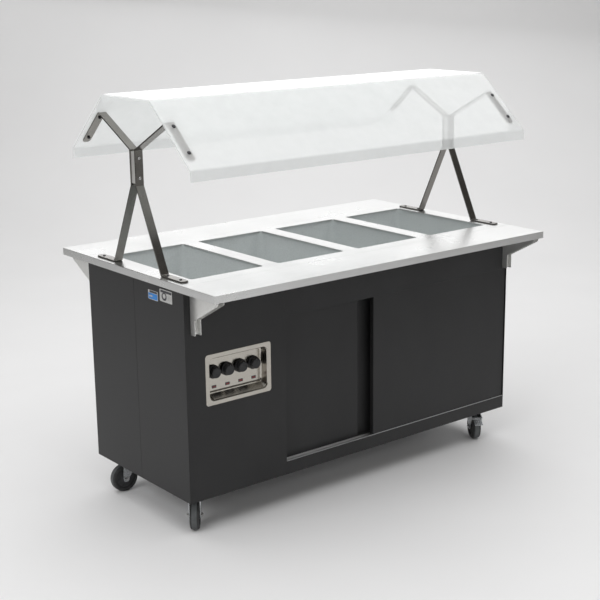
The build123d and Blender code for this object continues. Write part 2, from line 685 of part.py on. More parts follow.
# Casters -------------------------------------------------------------------------------------
RACE_Z = 119.0
FORK_TOP = (113.0, 116.0)
RACE_GAP = 0.3
LEG_OUTER = FORK_GAP / 2 + FORK_SHEET
PEDAL_PIVOT = (68.0, 94.0)
PEDAL_TIP = (103.0, 78.0)
PIVOT_R = 3.0
CASTERS = {
    "front_left": (-SWIVEL_X, -SWIVEL_Y, 231.5, False),
    "back_left": (-SWIVEL_X, SWIVEL_Y, 178.0, False),
    "front_right": (SWIVEL_X, -SWIVEL_Y, 240.0, True),
    "back_right": (SWIVEL_X, SWIVEL_Y, 205.0, True),
}

with BuildPart() as caster_plates:
    for x, y, heading, braked in CASTERS.values():
        with Locations((x, y, CASTER_HEIGHT - PLATE_SHEET / 2)):
            Box(*PLATE, PLATE_SHEET)
        race = (RACE_Z + RACE_GAP, CASTER_HEIGHT - PLATE_SHEET)
        rod((x, y, sum(race) / 2), 27, race[1] - race[0])
        rod((x, y, 116), KINGPIN_R, 14)
        rod((x, y, FORK_TOP[0] - RACE_GAP - 1.8), 10, 3.6)
        with Locations((x, y, CASTER_HEIGHT)):
            with GridLocations(*PLATE_HOLES, 2, 2):
                Cylinder(PLATE_BOLT_R + BOLT_PLAY, 4 * PLATE_SHEET, mode=Mode.SUBTRACT)
save(caster_plates, "caster_plates")

with BuildPart() as caster_bolts:
    for x, y, heading, braked in CASTERS.values():
        for bolt in GridLocations(*PLATE_HOLES, 2, 2):
            spot = (x + bolt.position.X, y + bolt.position.Y)
            rod((*spot, CASTER_HEIGHT - 5), 7, 4)
            rod((*spot, CASTER_HEIGHT + 4), PLATE_BOLT_R, 16)
            rod((*spot, CASTER_HEIGHT + SHEET + 3), 7, 6)
save(caster_bolts, "caster_bolts")


def caster(name, x, y, heading, braked):
    """A swivel fork with its axle, wheel and, on a braked caster, its foot pedal.

    heading is the way the wheel trails from the kingpin, in degrees from +X.
    """
    trailing = (cos(radians(heading)), sin(radians(heading)), 0)
    place = Plane(origin=(x, y, 0), x_dir=trailing, z_dir=(0, 0, 1))
    side_view = Plane(origin=(x, y, 0), x_dir=trailing, z_dir=(trailing[1], -trailing[0], 0))

    with BuildPart(place) as fork:
        with Locations((2, 0, sum(FORK_TOP) / 2)):
            Box(58, 2 * LEG_OUTER, FORK_SHEET)
        rod((0, 0, (FORK_TOP[1] + RACE_Z) / 2), 24, RACE_Z - FORK_TOP[1])
        with BuildSketch(side_view.offset(-LEG_OUTER)):
            with BuildLine():
                ear = (PEDAL_PIVOT[0] + 7, PEDAL_PIVOT[1] + 4) if braked else (40, FORK_TOP[1] - 8)
                FilletPolyline(
                    (-27, FORK_TOP[1]),
                    (31, FORK_TOP[1]),
                    ear,
                    (TRAIL + 13, WHEEL_R + 4),
                    (TRAIL + 9, WHEEL_R - 12),
                    (TRAIL - 9, WHEEL_R - 12),
                    (TRAIL - 14, WHEEL_R + 6),
                    (-27, FORK_TOP[0] - 8),
                    radius=[0, 0, 5, 4, 6, 6, 6, 5],
                    close=True,
                )
            make_face()
        extrude(amount=2 * LEG_OUTER)
        with Locations((TRAIL, 0, FORK_TOP[0] - 50)):
            Box(200, FORK_GAP, 100, mode=Mode.SUBTRACT)
        rod((0, 0, FORK_TOP[0]), KINGPIN_R + 0.05, 20, mode=Mode.SUBTRACT)
        rod((TRAIL, 0, WHEEL_R), AXLE_R + HOLE_PLAY, 60, ALONG_Y, Mode.SUBTRACT)
        if braked:
            rod((PEDAL_PIVOT[0], 0, PEDAL_PIVOT[1]), PIVOT_R, 2 * LEG_OUTER + 3, ALONG_Y)
    save(fork, f"{name}_fork")

    with BuildPart(place) as axle:
        rod((TRAIL, 0, WHEEL_R), AXLE_R, 2 * LEG_OUTER + 8, ALONG_Y)
        for side in (-1, 1):
            rod((TRAIL, side * (LEG_OUTER + 2.5), WHEEL_R), 8, 5, ALONG_Y)
    save(axle, f"{name}_axle")

    with BuildPart(place) as wheel:
        rod((TRAIL, 0, WHEEL_R), WHEEL_R, WHEEL_WIDTH, ALONG_Y)
        fillet(wheel.edges().filter_by(GeomType.CIRCLE), 7)
        for side in (-1, 1):
            rod((TRAIL, side * WHEEL_WIDTH / 2, WHEEL_R), 35, 5, ALONG_Y, Mode.SUBTRACT)
        rod((TRAIL, 0, WHEEL_R), 14, FORK_GAP - 1, ALONG_Y)
        rod((TRAIL, 0, WHEEL_R), AXLE_R + SHAFT_CLEARANCE, 60, ALONG_Y, Mode.SUBTRACT)
    save(wheel, f"{name}_wheel")

    if braked:
        reach = (PEDAL_TIP[0] - PEDAL_PIVOT[0], PEDAL_TIP[1] - PEDAL_PIVOT[1])
        droop = degrees(atan2(-reach[1], reach[0]))
        with BuildPart(place) as pedal:
            middle = (PEDAL_PIVOT[0] + reach[0] / 2, 0, PEDAL_PIVOT[1] + reach[1] / 2)
            with Locations(middle):
                Box(hypot(*reach), 32, 3, rotation=(0, droop, 0))
            rod((PEDAL_PIVOT[0], 0, PEDAL_PIVOT[1]), 5, FORK_GAP - 1, ALONG_Y)
            rod((PEDAL_PIVOT[0], 0, PEDAL_PIVOT[1]), PIVOT_R + SHAFT_CLEARANCE, 60, ALONG_Y, Mode.SUBTRACT)
        save(pedal, f"{name}_brake_pedal")


for name, settings in CASTERS.items():
    caster(name, *settings)
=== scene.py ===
from math import cos, pi, radians, sin

import bmesh
import bpy
from mathutils import Matrix, Vector


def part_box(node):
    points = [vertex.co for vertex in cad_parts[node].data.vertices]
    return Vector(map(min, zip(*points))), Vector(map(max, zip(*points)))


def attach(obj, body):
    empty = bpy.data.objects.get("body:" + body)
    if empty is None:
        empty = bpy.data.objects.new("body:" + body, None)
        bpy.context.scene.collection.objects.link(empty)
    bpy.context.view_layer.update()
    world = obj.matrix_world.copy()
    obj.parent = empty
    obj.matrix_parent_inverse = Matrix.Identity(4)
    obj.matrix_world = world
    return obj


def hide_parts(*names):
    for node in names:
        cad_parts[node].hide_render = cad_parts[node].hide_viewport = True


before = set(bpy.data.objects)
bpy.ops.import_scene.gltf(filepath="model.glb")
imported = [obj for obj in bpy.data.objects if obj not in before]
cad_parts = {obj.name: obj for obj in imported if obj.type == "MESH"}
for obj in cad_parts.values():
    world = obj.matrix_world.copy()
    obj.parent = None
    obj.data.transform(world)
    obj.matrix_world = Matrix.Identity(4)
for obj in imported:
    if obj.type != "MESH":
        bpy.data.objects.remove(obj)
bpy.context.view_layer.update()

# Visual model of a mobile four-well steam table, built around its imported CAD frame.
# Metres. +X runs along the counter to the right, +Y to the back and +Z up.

MM = 0.001
TURN = 2 * pi
QUARTER = radians(90)
UP, DOWN = (0, 0, 1), (0, 0, -1)
BACK, FRONT = (0, 1, 0), (0, -1, 0)
RIGHT, LEFT = (1, 0, 0), (-1, 0, 0)
SIDES = (-1, 1)


def scaled(values, share, plus=0.0):
    """Each value times the share, plus a constant."""
    return tuple(value * share + plus for value in values)


# Finishes ------------------------------------------------------------------------------------
class Finish:
    """A node material that is built up round its Principled shader."""

    def __init__(self, name, colour, metallic, roughness):
        self.material = bpy.data.materials.new(name)
        self.material.use_nodes = True
        self.nodes = self.material.node_tree.nodes
        self.links = self.material.node_tree.links
        self.shader = self.nodes["Principled BSDF"]
        self.set("Base Color", (*colour, 1))
        self.set("Metallic", metallic)
        self.set("Roughness", roughness)
        self.place = self.nodes.new("ShaderNodeTexCoord").outputs["Object"]
        self.relief = None

    def set(self, socket, value):
        """Gives one shader socket a fixed value."""
        self.shader.inputs[socket].default_value = value

    def add(self, kind, inputs, **settings):
        """A new node, with its inputs linked to sockets or set to values."""
        node = self.nodes.new("ShaderNode" + kind)
        for key, value in settings.items():
            setattr(node, key, value)
        for key, value in inputs.items():
            if isinstance(value, bpy.types.NodeSocket):
                self.links.new(value, node.inputs[key])
            else:
                node.inputs[key].default_value = value
        return node

    def stretched(self, stretch):
        """The object's coordinates, scaled along each axis."""
        return self.add("Mapping", {"Vector": self.place, "Scale": stretch}).outputs[0]

    def noise(self, scale, stretch=(1, 1, 1), *, detail, coarse=0.55):
        """A noise value, finer along an axis that is stretched more."""
        inputs = {"Vector": self.stretched(stretch), "Scale": scale, "Detail": detail, "Roughness": coarse}
        return self.add("TexNoise", inputs).outputs[0]

    def cells(self, scale):
        """A colour that differs from crystal to crystal."""
        return self.add("TexVoronoi", {"Vector": self.place, "Scale": scale}, feature="F1").outputs["Color"]

    def spread(self, value, low, high, start=0.3, end=0.7):
        """A texture value moved from start..end to low..high."""
        inputs = {"Value": value, "From Min": start, "From Max": end, "To Min": low, "To Max": high}
        return self.add("MapRange", inputs).outputs[0]

    def mixed(self, share, first, second):
        """A colour between two others, which are colours or sockets."""
        ends = [end if isinstance(end, bpy.types.NodeSocket) else (*end, 1) for end in (first, second)]
        return self.add("Mix", {0: share, 6: ends[0], 7: ends[1]}, data_type="RGBA").outputs[2]

    def product(self, first, second):
        """The product of two values or sockets."""
        return self.add("Math", {0: first, 1: second}, operation="MULTIPLY").outputs[0]

    def colour(self, socket):
        """Lets a socket drive the base colour."""
        self.links.new(socket, self.shader.inputs["Base Color"])

    def gloss(self, value, low, high, start=0.3, end=0.7):
        """Roughness that varies with a texture value."""
        self.links.new(self.spread(value, low, high, start, end), self.shader.inputs["Roughness"])

    def bump(self, value, depth, strength):
        """Fine relief of the given depth in metres."""
        inputs = {"Height": value, "Distance": depth, "Strength": strength}
        if self.relief:
            inputs["Normal"] = self.relief
        self.relief = self.add("Bump", inputs).outputs[0]
        self.links.new(self.relief, self.shader.inputs["Normal"])


def powder_coat(name, colour, sheen):
    """Baked powder coat with fine orange peel, faint smudges and specks of dust."""
    finish = Finish(name, colour, 0, sheen)
    peel = finish.noise(620, detail=2)
    smudge = finish.noise(3.2, (1, 1, 0.6), detail=5)
    dust = finish.spread(finish.noise(900, detail=1), 0, 1, start=0.66, end=0.72)
    tint = finish.mixed(finish.spread(smudge, 0, 1), colour, scaled(colour, 1.5, 0.006))
    finish.colour(finish.mixed(finish.product(dust, 0.12), tint, (0.2, 0.2, 0.2)))
    finish.gloss(smudge, sheen - 0.05, sheen + 0.08)
    finish.bump(peel, 0.05 * MM, strength=0.35)
    return finish


def brushed(name, colour, sheen, stretch, depth=0.02, metallic=1.0):
    """Steel brushed along one axis: fine lines, a few long scratches and soft patches in the gloss."""
    finish = Finish(name, colour, metallic, sheen)
    lines = finish.noise(1, stretch, detail=4, coarse=0.7)
    long_lines = finish.noise(1, scaled(stretch, 0.31), detail=2)
    scratch = finish.spread(long_lines, 0, 1, start=0.62, end=0.7)
    patches = finish.noise(4.5, detail=3)
    tint = finish.mixed(finish.spread(lines, 0, 1), scaled(colour, 0.86), colour)
    finish.colour(finish.mixed(finish.product(scratch, 0.2), tint, scaled(colour, 0.7)))
    finish.gloss(patches, sheen - 0.05, sheen + 0.06)
    finish.bump(lines, depth * MM, strength=0.6)
    return finish


def spangled(name, colour, sheen, scale):
    """Zinc-coated sheet with crystal spangle and a little white bloom."""
    finish = Finish(name, colour, 0.9, sheen)
    crystal = finish.cells(scale)
    bloom = finish.noise(26, detail=5)
    grey = finish.add("RGBToBW", {0: crystal}).outputs[0]
    tint = finish.mixed(grey, scaled(colour, 0.72), scaled(colour, 1.08))
    finish.colour(finish.mixed(finish.spread(bloom, 0, 0.35, start=0.5, end=0.75), tint, (0.62, 0.62, 0.6)))
    finish.gloss(grey, sheen - 0.08, sheen + 0.1, start=0, end=1)
    finish.bump(bloom, 0.03 * MM, strength=0.4)
    return finish


def moulded(name, colour, sheen, scale=900, depth=0.03, wear=0.3):
    """Moulded plastic or rubber with a fine grain and slightly dusty patches."""
    finish = Finish(name, colour, 0, sheen)
    grain = finish.noise(scale, detail=2)
    patches = finish.noise(32, detail=4)
    paler = scaled(colour, 1 + wear, 0.02 * wear)
    finish.colour(finish.mixed(finish.spread(patches, 0, 1), colour, paler))
    finish.gloss(patches, sheen - 0.04, sheen + 0.08)
    finish.bump(grain, depth * MM, strength=0.4)
    return finish


def clear_acrylic(name):
    """Clear cast acrylic: light goes straight through, its faces mirror, and a thin haze catches light."""
    finish = Finish(name, (0.93, 0.95, 0.95), 0, 0.03)
    clear, milky = (0.975, 0.985, 0.985, 1), (0.97, 0.98, 0.98, 1)
    square_on = 0.04
    haze = finish.noise(7, detail=4)
    through = finish.add("BsdfTransparent", {"Color": clear}).outputs[0]
    gloss = finish.spread(haze, 0.02, 0.05)
    mirror = finish.add("BsdfGlossy", {"Color": (1, 1, 1, 1), "Roughness": gloss}).outputs[0]
    lit = finish.add("BsdfDiffuse", {"Color": milky}).outputs[0]
    glowing = finish.add("BsdfTranslucent", {"Color": milky}).outputs[0]
    film = finish.add("MixShader", {0: 0.45, 1: lit, 2: glowing}).outputs[0]
    clouded = finish.add("MixShader", {0: finish.spread(haze, 0.40, 0.46), 1: through, 2: film}).outputs[0]
    grazing = finish.add("LayerWeight", {"Blend": 0.5}).outputs["Facing"]
    steep = finish.add("Math", {0: grazing, 1: 5.0}, operation="POWER").outputs[0]
    weights = {0: steep, 1: 1 - square_on, 2: square_on}
    share = finish.add("Math", weights, operation="MULTIPLY_ADD").outputs[0]
    mix = finish.add("MixShader", {0: share, 1: clouded, 2: mirror}).outputs[0]
    finish.links.new(mix, finish.nodes["Material Output"].inputs["Surface"])
    return finish


BLACK = powder_coat("black_powder_coat", (0.012, 0.012, 0.0125), 0.40)
GALVANISED = spangled("galvanised_sheet", (0.5, 0.51, 0.52), 0.42, 95)
ZINC = spangled("zinc_plating", (0.66, 0.68, 0.7), 0.26, 420)
TOP = brushed("brushed_top", (0.76, 0.765, 0.76), 0.30, (14, 1500, 1500))
WELL = brushed("drawn_well", (0.80, 0.83, 0.83), 0.36, (260, 260, 260), depth=0.004, metallic=0.5)
BEZEL = brushed("bezel_steel", (0.50, 0.475, 0.43), 0.2, (30, 900, 900), depth=0.012)
BRACKET = brushed("bracket_steel", (0.90, 0.90, 0.88), 0.38, (900, 900, 30), depth=0.012, metallic=0.8)
STRIP = brushed("strip_steel", (0.25, 0.24, 0.225), 0.24, (1100, 30, 30), depth=0.015)
SCREW = brushed("screw_steel", (0.70, 0.70, 0.70), 0.22, (700, 700, 700), depth=0.01)
DARK_SCREW = brushed("oxide_steel", (0.055, 0.055, 0.06), 0.35, (700, 700, 700), depth=0.01, metallic=0.7)
ELEMENT = brushed("element_sheath", (0.34, 0.31, 0.29), 0.42, (500, 500, 500), depth=0.02, metallic=0.9)
TRACK = brushed("track_aluminium", (0.74, 0.745, 0.75), 0.33, (18, 1200, 1200), depth=0.01)
CASE = moulded("thermostat_case", (0.66, 0.63, 0.54), 0.48)
KNOB = moulded("knob_plastic", (0.011, 0.011, 0.012), 0.2, scale=1400, depth=0.008, wear=0.5)
MARK = moulded("pointer_paint", (0.72, 0.72, 0.70), 0.4, scale=1200, depth=0.01, wear=0.1)
TERMINAL = moulded("terminal_plastic", (0.03, 0.03, 0.032), 0.45)
NYLON = moulded("glide_nylon", (0.62, 0.61, 0.56), 0.4)
TYRE = moulded("tyre_rubber", (0.014, 0.0145, 0.015), 0.52, scale=700, depth=0.06, wear=0.9)
TREAD = moulded("worn_tread", (0.075, 0.08, 0.082), 0.62, scale=500, depth=0.1, wear=0.5)
HUB = moulded("hub_plastic", (0.03, 0.031, 0.033), 0.42, scale=900, depth=0.03, wear=0.5)
FOIL = brushed("plate_foil", (0.60, 0.60, 0.59), 0.3, (500, 900, 30), depth=0.01, metallic=0.8)
BLUE = moulded("plate_blue", (0.02, 0.16, 0.44), 0.4, scale=900, depth=0.01, wear=0.35)
PALE = moulded("plate_pale", (0.36, 0.36, 0.35), 0.4, scale=900, depth=0.01, wear=0.2)
INK = moulded("plate_ink", (0.03, 0.03, 0.035), 0.45, scale=900, depth=0.01, wear=0.4)
ACRYLIC = clear_acrylic("clear_acrylic")
LENS = moulded("lamp_lens", (0.14, 0.004, 0.006), 0.14, scale=1200, depth=0.01, wear=0.4)
LENS.set("Coat Weight", 0.6)
KNOB.set("Coat Weight", 0.15)
KNOB.set("Specular IOR Level", 0.25)
BLACK.set("Specular IOR Level", 0.34)


# Shapes --------------------------------------------------------------------------------------
# Angles in degrees: facets joined into one face, edges that are rounded, and edges that shade sharp
FLAT = 0.4
SHARP = 40
CREASE = 32
WELD = 0.01 * MM
SCREW_SIDES, NUT_SIDES, WHEEL_SIDES = 32, 36, 96


def grown(size, more):
    """A width and height, both made larger by the same amount."""
    return (size[0] + more, size[1] + more)


def centre_of(low, high):
    """The middle of a box in X, and in Z."""
    return (low.x + high.x) / 2, (low.z + high.z) / 2


def spot(origin, normal, upright=UP):
    """A place whose local Z is the normal and whose local Y leans towards upright."""
    z = Vector(normal).normalized()
    x = Vector(upright).cross(z)
    if x.length < 1e-6:
        x = Vector(RIGHT)
    x.normalize()
    y = z.cross(x)
    turned = Matrix((x, y, z)).transposed().to_4x4()
    return Matrix.Translation(Vector(origin)) @ turned


def ring(place, radius, height, sides):
    """A loop of points about a place's Z. The radius is a number or a function of the angle."""
    points = []
    for step in range(sides):
        turn = TURN * step / sides
        reach = radius(turn) if callable(radius) else radius
        points.append(place @ Vector((reach * cos(turn), reach * sin(turn), height)))
    return points


def rounded(place, size, radius, height, shift=(0, 0), steps=7):
    """A rounded rectangle of points in a place's XY plane."""
    points = []
    for quarter, (across, up) in enumerate(((1, 1), (-1, 1), (-1, -1), (1, -1))):
        centre = (shift[0] + across * (size[0] / 2 - radius), shift[1] + up * (size[1] / 2 - radius))
        for step in range(steps + 1):
            turn = (quarter + step / steps) * pi / 2
            flat = (centre[0] + radius * cos(turn), centre[1] + radius * sin(turn))
            points.append(place @ Vector((*flat, height)))
    return points


def stepped(place, size, rows, steps=7):
    """Rounded rectangles from rows of (growth of the size, corner, level) in millimetres."""
    return [
        rounded(place, grown(size, more * MM), corner * MM, level * MM, steps=steps)
        for more, corner, level in rows
    ]


def hexagon(across_flats):
    """The radius of a hexagon at each angle."""
    return lambda turn: across_flats / 2 / cos((turn % (pi / 3)) - pi / 6)


def cross(arm, waist):
    """The radius of a driver recess with four arms."""
    return lambda turn: arm if abs((turn + pi / 8) % (pi / 2) - pi / 8) < pi / 16 else waist


def loft(bm, loops, caps=(True, True), paint=0):
    """Joins point loops of equal length, and closes the ends that caps asks for."""
    rows = [[bm.verts.new(point) for point in loop] for loop in loops]
    faces = []
    for below, above in zip(rows, rows[1:]):
        for step in range(len(below)):
            after = (step + 1) % len(below)
            faces.append(bm.faces.new((below[step], below[after], above[after], above[step])))
    if caps[0]:
        faces.append(bm.faces.new(list(reversed(rows[0]))))
    if caps[1]:
        faces.append(bm.faces.new(rows[-1]))
    for face in faces:
        face.material_index = paint


def lathe(bm, place, profile, sides, caps=(True, True), paint=0):
    """A turned solid from (radius, height) pairs."""
    loft(bm, [ring(place, radius, height, sides) for radius, height in profile], caps, paint)


def rod(bm, place, radius, start, end, sides=20):
    """A plain round rod along a place's Z."""
    lathe(bm, place, ((radius, start), (radius, end)), sides)


def slab(bm, place, size, corner, levels, paint=0, steps=7):
    """A rounded rectangle carried straight through the levels."""
    loft(bm, [rounded(place, size, corner, level, steps=steps) for level in levels], paint=paint)


def weld(bm):
    """Joins loops that meet."""
    bmesh.ops.remove_doubles(bm, verts=bm.verts, dist=WELD)


def piece(name, bm, finishes, body, replaced=()):
    """Makes the object, gives it its finishes, and puts it on its CAD body."""
    bmesh.ops.recalc_face_normals(bm, faces=bm.faces)
    mesh = bpy.data.meshes.new(name)
    bm.to_mesh(mesh)
    bm.free()
    for finish in finishes:
        mesh.materials.append(finish.material)
    mesh.shade_smooth()
    mesh.set_sharp_from_angle(angle=radians(CREASE))
    made = bpy.data.objects.new(name, mesh)
    bpy.context.scene.collection.objects.link(made)
    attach(made, body)
    if replaced:
        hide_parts(*replaced)
    even = made.modifiers.new("even_shading", "WEIGHTED_NORMAL")
    even.keep_sharp = True
    even.weight = 100


def cad_solid(node):
    """A CAD node's solid as a mesh of whole faces."""
    bm = bmesh.new()
    bm.from_mesh(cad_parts[node].data)
    for face in bm.faces:
        face.material_index = 0
    bmesh.ops.remove_doubles(bm, verts=bm.verts, dist=0.002 * MM)
    bmesh.ops.dissolve_limit(bm, angle_limit=radians(FLAT), verts=bm.verts, edges=bm.edges)
    return bm


def softened(node, finish, body, width=0.45, shortest=4.0, chosen=None):
    """A CAD solid with its long sharp edges rounded. Width and shortest length are in millimetres."""
    bm = cad_solid(node)
    sharp = []
    for edge in bm.edges:
        if len(edge.link_faces) != 2 or edge.calc_length() < shortest * MM:
            continue
        if edge.calc_face_angle() > radians(SHARP) and (chosen is None or chosen(edge)):
            sharp.append(edge)
    rounding = {"offset": width * MM, "segments": 3, "profile": 0.5}
    bmesh.ops.bevel(bm, geom=sharp, affect="EDGES", clamp_overlap=True, **rounding)
    piece(f"{node}_form", bm, [finish], body, [node])


def screw(bm, place, radius, height):
    """A pan head with a four-armed recess."""
    dome = ((1, 0), (1, 0.35), (0.9, 0.72), (0.7, 0.95))
    loops = [ring(place, reach * radius, level * height, SCREW_SIDES) for reach, level in dome]
    arm, waist = 0.45, 0.4
    for reach, level in ((arm, height), (0.9 * arm, 0.45 * height)):
        loops.append(ring(place, cross(reach * radius, waist * reach * radius), level, SCREW_SIDES))
    loft(bm, loops)


def bolt_head(bm, place, across, height):
    """A hexagonal head with turned corners."""
    flats = hexagon(across)
    loops = [ring(place, flats, 0, NUT_SIDES), ring(place, flats, 0.82 * height, NUT_SIDES)]
    loops.append(ring(place, 0.47 * across, height, NUT_SIDES))
    loft(bm, loops)


# Cabinet -------------------------------------------------------------------------------------
BLACK_PANELS = (
    "base_pan", "door_sill", "left_end_panel", "right_end_panel", "front_panel", "front_header", "back_panel",
)
for node in BLACK_PANELS:
    softened(node, BLACK, "cabinet")
for node in ("left_door", "right_door"):
    softened(node, BLACK, node, width=0.5)
for node in ("partition", "heater_tray", "caster_rails"):
    softened(node, GALVANISED, "cabinet")
softened("door_tracks", TRACK, "cabinet", width=0.5)
for node in ("left_door", "right_door"):
    softened(f"{node}_glides", NYLON, node, width=1.5)

# Counter top, shelves, brackets --------------------------------------------------------------
top_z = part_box("counter_top")[1].z
ON_FACE = 0.1 * MM
LEAST_RISE = 10 * MM


def outer_bend(node):
    """Picks the bends along the outside of a folded sheet."""
    low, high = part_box(node)

    def chosen(edge):
        middle = (edge.verts[0].co + edge.verts[1].co) / 2
        at_top = middle.z > high.z - ON_FACE
        to_side = min(middle.x - low.x, high.x - middle.x, middle.y - low.y, high.y - middle.y)
        upright = abs(edge.verts[0].co.z - edge.verts[1].co.z) > LEAST_RISE
        return to_side < ON_FACE and (at_top or upright)

    return chosen


for node in ("counter_top", "front_shelf", "back_shelf"):
    softened(node, TOP, "cabinet", width=1.3, shortest=20, chosen=outer_bend(node))
for node in ("shelf_brackets", "support_spacers"):
    softened(node, BRACKET, "cabinet", width=0.6)

# Turned-down edges of the four counter openings
OPENING = (298 * MM, 495 * MM)
OPENING_CORNER = 10 * MM
EDGE_DEPTH = 7 * MM
EDGE_SHEET = 1.2 * MM
EDGE_GAP = 0.1 * MM
bm = bmesh.new()
for number in range(1, 5):
    middle = spot((centre_of(*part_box(f"well_{number}"))[0], 0, top_z), UP, BACK)
    outer, half_way, inner = (grown(OPENING, -less) for less in (EDGE_GAP, EDGE_SHEET, 2 * EDGE_SHEET))
    loops = [
        rounded(middle, outer, OPENING_CORNER, -EDGE_DEPTH),
        rounded(middle, outer, OPENING_CORNER, -EDGE_GAP),
        rounded(middle, half_way, OPENING_CORNER - EDGE_SHEET / 2, -EDGE_GAP),
        rounded(middle, inner, OPENING_CORNER - EDGE_SHEET, -1.0 * MM),
        rounded(middle, inner, OPENING_CORNER - EDGE_SHEET, -EDGE_DEPTH),
    ]
    loft(bm, loops + loops[:1], (False, False))
weld(bm)
piece("opening_edges_form", bm, [TOP], "cabinet")

# Wells ---------------------------------------------------------------------------------------
WELL_WALL = 1.0 * MM
WELL_RIM = 12 * MM
WELL_CORNER = 30 * MM
WELL_LIP = 2.5 * MM
LIP_STEPS = 4
WELL_FOOT = 14 * MM
FOOT_STEPS = 8
LEAST_CORNER = 6 * MM


def pan_face(middle, inside, depth, wall):
    """One face of a pan, from its lip to the end of its foot. The wall is 0 for the inner face."""
    size, corner = grown(inside, 2 * wall), WELL_CORNER + wall
    loops = []
    for step in range(LIP_STEPS + 1):
        turn = QUARTER * step / LIP_STEPS
        out, drop = WELL_LIP * (1 - sin(turn)), WELL_LIP * (1 - cos(turn))
        if wall:
            out, drop = 0, WELL_LIP * step / LIP_STEPS
        loops.append(rounded(middle, grown(size, 2 * out), corner + out, -wall - drop))
    foot = WELL_FOOT + wall
    for step in range(1, FOOT_STEPS + 1):
        turn = QUARTER * step / FOOT_STEPS
        inset = foot * (1 - cos(turn))
        level = -depth + WELL_WALL - wall + foot * (1 - sin(turn))
        loops.append(rounded(middle, grown(size, -2 * inset), max(corner - inset, LEAST_CORNER), level))
    return loops


for number in range(1, 5):
    low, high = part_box(f"well_{number}")
    middle = spot((centre_of(low, high)[0], 0, high.z), UP, BACK)
    rim, depth = (high.x - low.x, high.y - low.y), high.z - low.z
    inside = grown(rim, -2 * WELL_RIM)
    under_rim = rounded(middle, rim, WELL_CORNER, -WELL_WALL)
    over_rim = rounded(middle, rim, WELL_CORNER, 0)
    bm = bmesh.new()
    loft(bm, [under_rim, over_rim] + pan_face(middle, inside, depth, 0), (False, True))
    loft(bm, [under_rim] + pan_face(middle, inside, depth, WELL_WALL), (False, True))
    weld(bm)
    piece(f"well_{number}_pan", bm, [WELL], "cabinet", [f"well_{number}"])

# The heating elements keep their CAD shape
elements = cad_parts["heating_elements"]
elements.data.materials.clear()
elements.data.materials.append(ELEMENT.material)

# Control panel: a recessed bezel --------------------------------------------------------------
FLANGE = 16 * MM
BEZEL_SHEET = 1.2 * MM
RECESS_CORNER = 18 * MM
FLOOR_CORNER = 10 * MM
FLOOR_LESS = (12 * MM, 26 * MM)
FLOOR_RISE = 7 * MM
BEND = 6 * MM
BEND_STEPS = 7
LAMP_PROUD = 1.5 * MM
low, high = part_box("control_bezel")
face_x, face_z = centre_of(low, high)
face = spot((face_x, low.y, face_z), FRONT)
size = (high.x - low.x, high.z - low.z)
mouth = grown(size, -2 * FLANGE)
floor_size = (mouth[0] - FLOOR_LESS[0], mouth[1] - FLOOR_LESS[1])
dial_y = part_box("indicator_lamps")[0].y + LAMP_PROUD
depth = dial_y - low.y


def recess_corner(share):
    """The corner of the recess at a share of its depth."""
    return RECESS_CORNER + (FLOOR_CORNER - RECESS_CORNER) * share


def recess(share, corner, wider=0.0, lower=0.0):
    """A loop of the recess at a share of the way from its mouth to its floor."""
    slid = [mouth[axis] + (floor_size[axis] - mouth[axis]) * share + wider for axis in (0, 1)]
    return rounded(face, slid, corner, -depth * share - lower, (0, FLOOR_RISE * share))


# Growth of the size, corner and level of each loop, from the flange's outer edge to the mouth
FLANGE_ROWS = ((0, 10, -1.2), (-0.2, 10, -0.5), (-1.6, 9.4, 0))
MOUTH_ROWS = ((6, 21, 0), (2.4, 19.2, -0.6), (0.6, 18, -2.2))
bm = bmesh.new()
loops = stepped(face, size, FLANGE_ROWS) + stepped(face, mouth, MOUTH_ROWS)
loops += [recess(share, recess_corner(share)) for share in (0.1, 0.45, 1 - BEND / depth)]
for step in range(1, BEND_STEPS + 1):
    turn = QUARTER * step / BEND_STEPS
    inset = 2 * BEND * (1 - cos(turn))
    loops.append(recess(1 - BEND / depth * (1 - sin(turn)), FLOOR_CORNER - 0.2 * inset, -inset))
loft(bm, loops, (False, True))
skin = [recess(share, recess_corner(share) + BEZEL_SHEET, 2 * BEZEL_SHEET, BEZEL_SHEET) for share in (0, 1)]
loft(bm, [loops[0]] + skin, (False, True))
piece("control_bezel_form", bm, [BEZEL], "cabinet", ["control_bezel"])

# Knobs: profiles of (growth of the radius, height) in millimetres -----------------------------
SKIRT = ((-0.8, 0), (0, 0.9), (0, 3.2), (-0.9, 5.2))
GRIP_FOOT = ((0.7, 6), (0, 7.4))
GRIP_HEAD = (-0.6, -3)
CROWN = ((-1.6, -1), (-3.4, 0), (-5, 0), (-6, -0.9))
KNOB_SIDES = 96
KNOB_STAND = 3 * MM
STEM_R = 3 * MM
GRIP_LESS = 4 * MM
FLUTES = 12
FLUTE_DEPTH = 1.5 * MM
POINTER = (1.8 * MM, 3.4 * MM)
TOP_DOT = (1.6 * MM, 1.6 * MM)
MARK_CORNER = 0.5 * MM


def fluted(size):
    """The grip's radius, with shallow flutes."""
    return lambda turn: size - FLUTE_DEPTH * max(0.0, cos(FLUTES * turn)) ** 1.5


